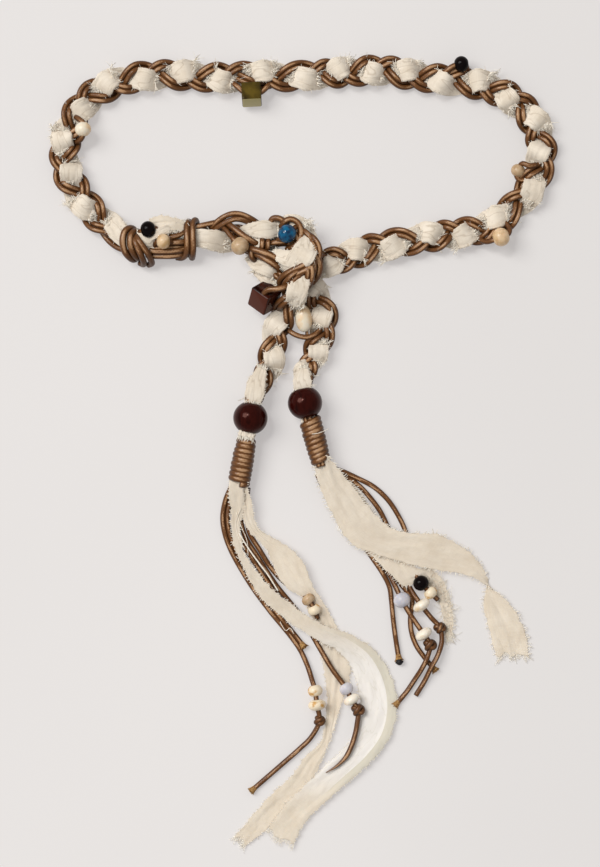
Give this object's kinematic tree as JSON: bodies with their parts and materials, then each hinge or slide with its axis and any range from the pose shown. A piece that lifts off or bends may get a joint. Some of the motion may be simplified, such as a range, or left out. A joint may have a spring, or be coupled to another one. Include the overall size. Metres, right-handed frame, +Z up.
{
  "type": "braided tie belt with tassels",
  "caption": "Long braided belt of waxed cord and torn cotton, half-knotted into a waist loop, with wood beads, wrapped ends and beaded tassels.",
  "frame": {"origin": "bottom centre of the belt as it lies, measured without the tassel cords and the beads on them", "axes": "+Z up from the surface that it lies on, +Y from the tassels to the waist loop, +X to the right seen from above"},
  "size_m": [0.3723, 0.5872, 0.032],
  "materials": {
    "cord": "waxed cotton cord, soft sheen",
    "cloth": "torn natural cotton, matte",
    "wood": "dark red-brown, polished",
    "white_stone": "cream stone, polished",
    "peach_stone": "peach stone, polished",
    "beige_stone": "beige translucent stone, polished",
    "black_glass": "opaque black glass",
    "blue_glass": "deep blue glass",
    "olive_glass": "olive glass, polished",
    "garnet_glass": "dark red glass, polished",
    "lilac_glass": "pale lilac-grey stone, polished"
  },
  "bodies": {
    "root": {"main_cloth": "cloth", "main_cord_pair_a": "cord", "main_cord_pair_b": "cord", "short_cloth": "cloth", "short_cord_pair_a": "cord", "short_cord_pair_b": "cord", "join_lashing": "cord", "join_cord": "cord", "join_cloth_end": "cloth", "wood_bead_left": "wood", "wood_bead_right": "wood", "coil_left": "cord", "coil_right": "cord", "white_bead": "white_stone", "black_bead_join": "black_glass", "peach_bead_join": "peach_stone", "beige_bead_knot": "beige_stone", "blue_bead": "blue_glass", "black_bead_top": "black_glass", "beige_bead_right": "beige_stone", "pale_bead_right": "peach_stone", "ivory_nugget": "white_stone", "olive_cube": "olive_glass", "garnet_cube": "garnet_glass", "tassel_cord_left_1": "cord", "tassel_cord_left_2": "cord", "tassel_cord_left_3": "cord", "tassel_cord_left_4": "cord", "tassel_cord_left_5": "cord", "tassel_cord_right_1": "cord", "tassel_cord_right_2": "cord", "tassel_cord_right_3": "cord", "tassel_cord_right_4": "cord", "tassel_cord_right_5": "cord", "cord_bead_left_white": "white_stone", "cord_bead_left_rondelle": "peach_stone", "cord_bead_left_lilac": "lilac_glass", "cord_bead_left_pearl": "white_stone", "cord_bead_left_beige": "beige_stone", "cord_bead_left_peach": "peach_stone", "cord_bead_right_black": "black_glass", "cord_bead_right_cream": "peach_stone", "cord_bead_right_rondelle": "white_stone", "cord_bead_right_grey": "lilac_glass", "cord_bead_right_pearl": "white_stone", "strip_left_long": "cloth", "strip_left_short": "cloth", "strip_right_wide": "cloth", "strip_right_narrow": "cloth"}
  },
  "joints": []
}
